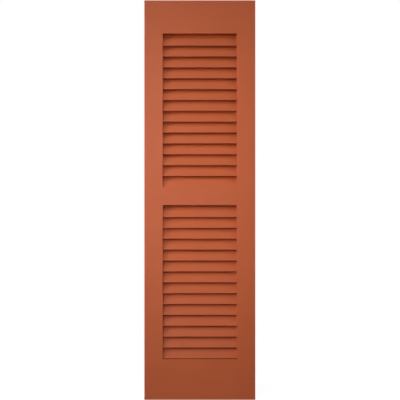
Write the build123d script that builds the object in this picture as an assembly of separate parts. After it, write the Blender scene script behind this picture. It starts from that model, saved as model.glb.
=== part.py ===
"""One leaf of a fixed louvered shutter: a stile-and-rail frame with two equal banks of slats.

Millimetres. +X runs across the leaf, +Y into the wall and +Z up, so the show side faces -Y.
The origin is at the centre of the middle rail's back face. The backs of all the frame pieces
lie in the plane Y = 0, which meets the wall.

Two stiles run the full height and three rails are tenoned between them. Each slat is let into
a pocket in either stile, with its lower edge to the front, and overlaps the slat below it.
"""

import math
import os

from build123d import *

# Frame
leaf_width = 381.0
leaf_height = 1371.6
leaf_thickness = 31.75
stile_width = 63.5
top_rail_height = 114.3
middle_rail_height = 63.5
bottom_rail_height = 139.7
lower_opening_height = 528.6

# Blind tenons on the rails and their mortises in the stiles
tenon_length = 38.0
tenon_thickness = 10.0
tenon_end_shoulder = 28.0
tenon_inner_shoulder = 12.0
tenon_clearance = 0.15
mortise_spare_depth = 1.5

# Slats
slat_width = 46.0
slat_thickness = 6.35
upper_slat_count = 14
lower_slat_count = 14
slat_front_recess = 3.0
slat_back_recess = 3.0
slat_let_in = 9.5
slat_clearance = 0.1
first_slat_drop = 40.4
last_upper_slat_lift = 0.0
last_lower_slat_lift = 2.4

# Eased arrises
frame_arris = 0.8
slat_arris = 0.7

# The frame's levels and faces
middle_rail_top = middle_rail_height / 2
middle_rail_bottom = -middle_rail_height / 2
lower_opening_bottom = middle_rail_bottom - lower_opening_height
leaf_bottom = lower_opening_bottom - bottom_rail_height
leaf_top = leaf_bottom + leaf_height
upper_opening_top = leaf_top - top_rail_height
stile_outer_x = leaf_width / 2
stile_inner_x = stile_outer_x - stile_width
front_y = -leaf_thickness
middle_y = -leaf_thickness / 2

rail_levels = {
    "top_rail": (upper_opening_top, leaf_top),
    "middle_rail": (middle_rail_bottom, middle_rail_top),
    "bottom_rail": (leaf_bottom, lower_opening_bottom),
}

# The slats lean until they fill the depth that the recesses leave
slat_depth = leaf_thickness - slat_front_recess - slat_back_recess
slat_diagonal = math.hypot(slat_width, slat_thickness)
slat_lean = math.asin(slat_depth / slat_diagonal) - math.atan2(slat_thickness, slat_width)


def block(corner, opposite):
    """A box between two opposite corners."""
    size = [abs(b - a) for a, b in zip(corner, opposite)]
    centre = [(a + b) / 2 for a, b in zip(corner, opposite)]
    return Pos(*centre) * Box(*size)


def slat_bar(front_edge_z, half_length, clearance=0.0):
    """A slat whose lower front edge is at the given height, centred on the leaf."""
    section = RectangleRounded(
        slat_thickness + 2 * clearance, slat_width + 2 * clearance, slat_arris + clearance
    )
    centre_y = front_y + slat_front_recess + slat_depth / 2
    centre_z = (
        front_edge_z
        + math.cos(slat_lean) * slat_width / 2
        - math.sin(slat_lean) * slat_thickness / 2
    )
    placed = Pos(centre_y, centre_z) * Rot(Z=-math.degrees(slat_lean)) * section
    return extrude(Plane.YZ * placed, amount=half_length, both=True)


def slat_levels(count, opening_top, opening_bottom, last_lift):
    """Heights of a bank's lower front edges, evenly spaced from its first slat to its last."""
    first = opening_top - first_slat_drop
    last = opening_bottom + last_lift
    return [first - (first - last) * i / (count - 1) for i in range(count)]


upper_levels = slat_levels(
    upper_slat_count, upper_opening_top, middle_rail_top, last_upper_slat_lift
)
lower_levels = slat_levels(
    lower_slat_count, middle_rail_bottom, lower_opening_bottom, last_lower_slat_lift
)
slat_half_length = stile_inner_x + slat_let_in
slat_pockets = [
    slat_bar(level, slat_half_length, slat_clearance) for level in upper_levels + lower_levels
]


def tenon_levels(rail_bottom, rail_top):
    """Heights between which a rail's tenon stands, with wider shoulders at the leaf's ends."""
    low_shoulder = tenon_end_shoulder if rail_bottom == leaf_bottom else tenon_inner_shoulder
    high_shoulder = tenon_end_shoulder if rail_top == leaf_top else tenon_inner_shoulder
    return rail_bottom + low_shoulder, rail_top - high_shoulder


def make_rail(rail_bottom, rail_top):
    """A rail with a tenon at each end, grooved where a slat beds into it."""
    board = block((-stile_inner_x, front_y, rail_bottom), (stile_inner_x, 0, rail_top))
    board = fillet(board.edges().filter_by(Axis.X), frame_arris)
    tenon_bottom, tenon_top = tenon_levels(rail_bottom, rail_top)
    tenon_end_x = stile_inner_x + tenon_length
    rail = board + block(
        (-tenon_end_x, middle_y - tenon_thickness / 2, tenon_bottom),
        (tenon_end_x, middle_y + tenon_thickness / 2, tenon_top),
    )
    return rail - slat_pockets


def make_mortise(side, rail_bottom, rail_top):
    """The space that a rail's tenon takes in a stile."""
    tenon_bottom, tenon_top = tenon_levels(rail_bottom, rail_top)
    half_thickness = tenon_thickness / 2 + tenon_clearance
    end_x = stile_inner_x + tenon_length + mortise_spare_depth
    return block(
        (side * stile_inner_x, middle_y - half_thickness, tenon_bottom - tenon_clearance),
        (side * end_x, middle_y + half_thickness, tenon_top + tenon_clearance),
    )


def make_arris(side, face_y, into_face, opening_bottom, opening_top):
    """What easing takes off a stile's inner edge beside an opening."""
    corner = (side * stile_inner_x, face_y)
    centre = (corner[0] + side * frame_arris, corner[1] + into_face * frame_arris)
    square = block((*corner, opening_bottom), (*centre, opening_top))
    middle_z = (opening_bottom + opening_top) / 2
    return square - Pos(*centre, middle_z) * Cylinder(frame_arris, opening_top - opening_bottom)


def make_stile(side):
    """The left stile (side -1) or right stile (side 1), with its mortises and slat pockets."""
    board = block(
        (side * stile_inner_x, front_y, leaf_bottom), (side * stile_outer_x, 0, leaf_top)
    )
    inner_face = board.faces().sort_by(lambda face: abs(face.center().X))[0]
    stile = fillet(board.edges() - inner_face.edges(), frame_arris)
    for opening in (
        (middle_rail_top, upper_opening_top),
        (lower_opening_bottom, middle_rail_bottom),
    ):
        stile -= make_arris(side, front_y, 1, *opening)
        stile -= make_arris(side, 0, -1, *opening)
    for levels in rail_levels.values():
        stile -= make_mortise(side, *levels)
    return stile - slat_pockets


pieces = {"left_stile": make_stile(-1), "right_stile": make_stile(1)}
for name, levels in rail_levels.items():
    pieces[name] = make_rail(*levels)
for bank, levels in (("upper", upper_levels), ("lower", lower_levels)):
    for number, level in enumerate(levels, start=1):
        pieces[f"{bank}_slat_{number:02d}"] = slat_bar(level, slat_half_length)

os.makedirs("parts", exist_ok=True)
for name, piece in pieces.items():
    export_step(piece, f"parts/{name}.step")

litres = sum(piece.volume for piece in pieces.values()) / 1e6
print(f"{len(pieces)} pieces, {litres:.2f} litres, slats lean {math.degrees(slat_lean):.1f} degrees")
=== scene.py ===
import math

import bpy
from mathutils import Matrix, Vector


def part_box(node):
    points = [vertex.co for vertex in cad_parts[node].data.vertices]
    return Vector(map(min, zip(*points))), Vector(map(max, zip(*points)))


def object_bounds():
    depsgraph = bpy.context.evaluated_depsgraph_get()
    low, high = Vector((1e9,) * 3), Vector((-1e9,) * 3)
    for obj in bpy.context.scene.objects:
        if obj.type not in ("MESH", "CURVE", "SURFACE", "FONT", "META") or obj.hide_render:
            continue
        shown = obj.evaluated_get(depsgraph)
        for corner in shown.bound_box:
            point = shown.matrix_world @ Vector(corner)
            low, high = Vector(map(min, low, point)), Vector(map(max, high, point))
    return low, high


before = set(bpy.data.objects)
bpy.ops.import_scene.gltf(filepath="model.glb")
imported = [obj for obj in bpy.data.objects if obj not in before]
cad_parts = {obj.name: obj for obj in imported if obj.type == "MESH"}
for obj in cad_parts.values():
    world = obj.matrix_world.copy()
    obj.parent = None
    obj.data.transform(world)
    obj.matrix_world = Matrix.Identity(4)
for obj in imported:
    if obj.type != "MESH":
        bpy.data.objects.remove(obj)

cad_low, cad_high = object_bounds()

# Stiles: the two uprights of the frame, planed softwood boards whose grain runs upwards. They
# are mortised for the rails, and a pocket in their inner edges takes the end of each slat.
# They are sprayed with satin terracotta paint, which sinks into the end grain at top and bottom.

MILLIMETRE = 0.001
paint_light = (0.515, 0.106, 0.032, 1)
paint_deep = (0.475, 0.093, 0.027, 1)
paint_roughness = 0.46
paint_reflectance = 0.3
pore_spacing = 1.3 * MILLIMETRE
ring_spacing = 4.5 * MILLIMETRE
ring_wander = 9.0 * MILLIMETRE
cloud_size = 70 * MILLIMETRE
spray_size = 1.1 * MILLIMETRE
grain_stretch = 45
pore_depth = 0.03
ring_depth = 0.03
spray_depth = 0.012
joint_half_width = 0.18 * MILLIMETRE
joint_depth = 0.05
joint_shade = 0.35
paint_in_joint = (0.10, 0.02, 0.01, 1)
cloud_tint = 0.9
pore_tint = 0.25
ring_tint = 0.08
spray_roughness = 0.08
end_grain_reach = 0.4 * MILLIMETRE
end_grain_roughness = 0.12
end_grain_shade = 0.06
end_grain_relief = 0.05
heart_offset = (0.09, 0.12)
smooth, fine = 1.0, 2.0
noise_roughness = 0.55
leaf_bottom, leaf_top = cad_low.z, cad_high.z
stile_inner_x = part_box("right_stile")[0].x
rails = ["top_rail", "middle_rail", "bottom_rail"]
rail_spans = [(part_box(name)[0].z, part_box(name)[1].z) for name in rails]


class Wire:
    """An output of a shader node. Sums written on wires and numbers add the Math nodes."""

    def __init__(self, tree, socket=None):
        self.tree = tree
        self.socket = socket

    def node(self, kind, settings, inputs, output=None):
        """Add a node with these settings and socket values or wires, and give its named output."""
        made = self.tree.nodes.new(kind)
        for name, setting in settings.items():
            setattr(made, name, setting)
        sockets = {socket.identifier: socket for socket in made.inputs}
        for name, given in inputs.items():
            if isinstance(given, Wire):
                self.tree.links.new(given.socket, sockets[name])
            else:
                sockets[name].default_value = given
        outputs = {socket.identifier: socket for socket in made.outputs}
        return Wire(self.tree, outputs.get(output))

    def math(self, operation, first, second=0.0, third=0.0):
        inputs = {"Value": first, "Value_001": second, "Value_002": third}
        return self.node("ShaderNodeMath", {"operation": operation}, inputs, "Value")

    def __add__(self, other):
        return self.math("ADD", self, other)

    def __radd__(self, other):
        return self.math("ADD", other, self)

    def __sub__(self, other):
        return self.math("SUBTRACT", self, other)

    def __rsub__(self, other):
        return self.math("SUBTRACT", other, self)

    def __mul__(self, other):
        return self.math("MULTIPLY", self, other)

    def __rmul__(self, other):
        return self.math("MULTIPLY", other, self)

    def __truediv__(self, other):
        return self.math("DIVIDE", self, other)

    def __rtruediv__(self, other):
        return self.math("DIVIDE", other, self)

    def __pow__(self, other):
        return self.math("POWER", self, other)

    def __abs__(self):
        return self.math("ABSOLUTE", self)

    def __gt__(self, other):
        return self.math("GREATER_THAN", self, other)

    def __lt__(self, other):
        return self.math("LESS_THAN", self, other)


def new_tree(owner):
    """An empty node tree on a material or world, ready for its first node."""
    owner.use_nodes = True
    owner.node_tree.nodes.clear()
    return Wire(owner.node_tree)


def scaled(place, scales):
    """A place in the pattern, stretched along each axis."""
    inputs = {"Vector": place, "Vector_001": scales}
    return place.node("ShaderNodeVectorMath", {"operation": "MULTIPLY"}, inputs, "Vector")


def noise(place, octaves):
    """Soft noise around 0.5 that changes once for each unit of the place."""
    inputs = {"Vector": place, "Scale": 1.0, "Detail": octaves, "Roughness": noise_roughness}
    return place.node("ShaderNodeTexNoise", {}, inputs, "Fac")


def painted_board(name, grain, seams, painted_shade_factor=1.0, end_grain=False):
    """Satin paint on a board whose grain runs along axis 0 or 2. Its joints with the stiles'
    inner edges show as hairlines within the heights listed in seams. A factor below 1
    darkens both paint shades, a painted shade laid on the board's colour."""
    material = bpy.data.materials.new(name)
    start = new_tree(material)
    place = start.node("ShaderNodeTexCoord", {}, {}, "Object")

    def along_grain(size):
        scales = [1 / size] * 3
        scales[grain] = 1 / (size * grain_stretch)
        return scaled(place, scales)

    axes = {
        axis: place.node("ShaderNodeSeparateXYZ", {}, {"Vector": place}, axis) for axis in "XYZ"
    }
    first, second = (axes[axis] for axis in "XYZ" if axis != "XYZ"[grain])

    # Growth rings: distance from the tree's heart, which lies off the board and wanders.
    wander = noise(along_grain(ring_wander), smooth) * ring_wander
    from_heart = ((first + heart_offset[0]) ** 2 + (second + heart_offset[1]) ** 2) ** 0.5
    turns = (from_heart + wander) / ring_spacing
    ring = start.math("PINGPONG", turns, 0.5) * 2
    pores = noise(along_grain(pore_spacing), fine)
    clouds = noise(scaled(place, [1 / cloud_size] * 3), smooth)
    spray = noise(scaled(place, [1 / spray_size] * 3), smooth)

    # Hairline where a rail's shoulder closes on the stile.
    from_seam = abs(abs(axes["X"]) - stile_inner_x)
    close = start.math("MAXIMUM", 1 - from_seam / joint_half_width, 0.0)
    within = sum((axes["Z"] > low) * (axes["Z"] < high) for low, high in seams)
    joint = close * within

    end = 0.0
    if end_grain:
        from_middle = abs(axes["Z"] - (leaf_bottom + leaf_top) / 2)
        end = from_middle > (leaf_top - leaf_bottom) / 2 - end_grain_reach

    shade = (
        0.5 + (clouds - 0.5) * cloud_tint + (pores - 0.5) * pore_tint + (ring - 0.5) * ring_tint
    )
    # A factor below 1 darkens the paint itself: painted shade, not a different paint.
    deep, light = (
        (*(painted_shade_factor * part for part in colour[:3]), 1) for colour in (paint_deep, paint_light)
    )
    colour = start.node(
        "ShaderNodeMix",
        {"data_type": "RGBA", "clamp_factor": True},
        {"Factor_Float": shade, "A_Color": deep, "B_Color": light},
        "Result_Color",
    )
    darkening = joint * joint_shade + end * end_grain_shade
    colour = start.node(
        "ShaderNodeMix",
        {"data_type": "RGBA", "clamp_factor": True},
        {"Factor_Float": darkening, "A_Color": colour, "B_Color": paint_in_joint},
        "Result_Color",
    )
    relief = pores * pore_depth + ring * (ring_depth + end * end_grain_relief)
    relief = relief + spray * spray_depth - joint * joint_depth
    roughness = paint_roughness + (spray - 0.5) * spray_roughness + end * end_grain_roughness
    normal = start.node(
        "ShaderNodeBump",
        {},
        {"Strength": 1.0, "Distance": MILLIMETRE, "Height": relief},
        "Normal",
    )
    shader = start.node(
        "ShaderNodeBsdfPrincipled",
        {},
        {
            "Base Color": colour,
            "Roughness": roughness,
            "Specular IOR Level": paint_reflectance,
            "Normal": normal,
        },
        "BSDF",
    )
    start.node("ShaderNodeOutputMaterial", {}, {"Surface": shader})
    return material


def paint(names, material):
    """Give CAD nodes their finish in place of the plain one they came with."""
    for name in names:
        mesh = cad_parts[name].data
        mesh.materials.clear()
        mesh.materials.append(material)


paint(["left_stile", "right_stile"], painted_board("stile_paint", 2, rail_spans, end_grain=True))

# Rails: three crossboards between the stiles, deepest at the foot, with the grain across. A
# blind tenon on each end is glued into its stile, so that only the shoulder line shows.
# They are planed flush with the stiles and sprayed with them in the same satin terracotta.

paint(rails, painted_board("rail_paint", 0, rail_spans))

# Slats: two banks of fourteen thin softwood slats with the grain across, each leaning back
# behind the one above to shed rain. Their ends are glued into pockets in the stiles before the
# frame is closed, and the paint gathers in the corner where a slat meets its stile.

# The slats' paint is darkened to 93% of the frame's: painted shade that dims the slats, whose
# faces tilt up towards the lamps and would otherwise look lighter than the frame.
slat_painted_shade = 0.93
slats = [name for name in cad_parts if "_slat_" in name]
slat_span = (rail_spans[-1][1], rail_spans[0][0])
paint(slats, painted_board("slat_paint", 0, [slat_span], slat_painted_shade))

# Camera: straight in front of the leaf at the height of its middle, which fills the height of
# the photograph but for a hair. It is near enough to see a little of the top rail's underside.

photo_pixels = 400
leaf_top_pixel = 0.25
leaf_bottom_pixel = 399.92
leaf_left_pixel = 144.40
leaf_right_pixel = 255.27
camera_distance = 3.2
sensor_width = 36
pixel = (leaf_top - leaf_bottom) / (leaf_bottom_pixel - leaf_top_pixel)
middle_pixel = photo_pixels / 2
camera_x = (middle_pixel - (leaf_left_pixel + leaf_right_pixel) / 2) * pixel
camera_z = (leaf_top + leaf_bottom) / 2 - (
    middle_pixel - (leaf_top_pixel + leaf_bottom_pixel) / 2
) * pixel
camera = bpy.data.objects.new("camera", bpy.data.cameras.new("camera"))
bpy.context.collection.objects.link(camera)
camera.data.sensor_width = sensor_width
camera.data.lens = sensor_width * camera_distance / (photo_pixels * pixel)
camera.location = (camera_x, cad_low.y - camera_distance, camera_z)
camera.rotation_euler = (math.radians(90), 0, 0)
bpy.context.scene.camera = camera

# Lamps: softboxes around the leaf, as in a product studio. The left one is the strongest and
# rakes the slats, one hangs high for their upper faces, and two low ones light the leaf's back.
# Grids keep each lamp's light within a cone, so that it falls off towards the leaf's ends.

lamp_distance = 2.2
softbox_width = 0.5
grid_spread = math.radians(58)


def hang_softbox(name, azimuth, elevation, aim, height, power):
    """A lamp aimed at a height on the leaf. Azimuth is 0 in front, and negative to the left."""
    across, up = math.radians(azimuth), math.radians(elevation)
    direction = Vector(
        (math.sin(across) * math.cos(up), -math.cos(across) * math.cos(up), math.sin(up))
    )
    light = bpy.data.lights.new(name, "AREA")
    light.shape = "RECTANGLE"
    light.size = softbox_width
    light.size_y = height
    light.spread = grid_spread
    light.energy = power
    lamp = bpy.data.objects.new(name, light)
    bpy.context.collection.objects.link(lamp)
    lamp.location = Vector((0, 0, aim)) + direction * lamp_distance
    lamp.rotation_euler = direction.to_track_quat("Z", "Y").to_euler()
    lamp.visible_camera = False


hang_softbox("left_softbox", azimuth=-60, elevation=14, aim=0, height=1.2, power=4.1)
hang_softbox("right_softbox", azimuth=62, elevation=14, aim=0.25, height=1.2, power=2.1)
hang_softbox("front_softbox", azimuth=-15, elevation=14, aim=-0.17, height=1.2, power=2.1)
hang_softbox("top_softbox", azimuth=-20, elevation=50, aim=0.28, height=0.6, power=0.75)
hang_softbox("back_left_softbox", azimuth=-140, elevation=-16, aim=0, height=0.8, power=2.6)
hang_softbox("back_right_softbox", azimuth=140, elevation=-16, aim=0, height=0.8, power=2.6)

# World: the studio's white walls. They are white where they are seen, straight or in a
# reflection, and otherwise give only a low plain light, so the slats keep their shadows.

plain_light = 0.025


def seen_by_eye(tree):
    """1 on rays from the camera, straight or by a reflection or glass, and 0 on the rest."""
    rays = [
        tree.node("ShaderNodeLightPath", {}, {}, ray)
        for ray in ("Is Camera Ray", "Is Glossy Ray", "Is Transmission Ray")
    ]
    return tree.math("MAXIMUM", tree.math("MAXIMUM", rays[0], rays[1]), rays[2])


world = bpy.data.worlds.new("white_studio")
bpy.context.scene.world = world
sky = new_tree(world)
brightness = plain_light + (1 - plain_light) * seen_by_eye(sky)
background = sky.node(
    "ShaderNodeBackground", {}, {"Color": (1, 1, 1, 1), "Strength": brightness}, "Background"
)
sky.node("ShaderNodeOutputWorld", {}, {"Surface": background})

# Floor: a plain matt sheet that the leaf stands on. It glows where it is seen, as the walls do,
# so it looks pale and keeps the leaf's shadow, but sends little light up onto the leaf.

floor_half_width = 1.5
floor_front = 1.5
floor_behind = 0.3
floor_grey = (0.2, 0.2, 0.2, 1)
floor_roughness = 0.8
floor_glow = 0.9
bpy.ops.object.select_all(action="DESELECT")
floor_middle = (0, (floor_behind - floor_front) / 2, leaf_bottom)
bpy.ops.mesh.primitive_plane_add(size=1, location=floor_middle)
floor = bpy.context.object
floor.name = "floor"
floor.scale = (2 * floor_half_width, floor_front + floor_behind, 1)
bpy.ops.object.transform_apply(location=True, rotation=True, scale=True)
floor_material = bpy.data.materials.new("pale_floor")
ground = new_tree(floor_material)
glow = ground.node(
    "ShaderNodeMix",
    {"data_type": "RGBA"},
    {
        "Factor_Float": floor_glow * seen_by_eye(ground),
        "A_Color": (0, 0, 0, 1),
        "B_Color": (1, 1, 1, 1),
    },
    "Result_Color",
)
matt = ground.node(
    "ShaderNodeBsdfPrincipled",
    {},
    {
        "Base Color": floor_grey,
        "Roughness": floor_roughness,
        "Emission Color": glow,
        "Emission Strength": 1.0,
    },
    "BSDF",
)
ground.node("ShaderNodeOutputMaterial", {}, {"Surface": matt})
floor.data.materials.append(floor_material)

# Finish: the colours are shown as they are.

bpy.context.scene.view_settings.view_transform = "Standard"
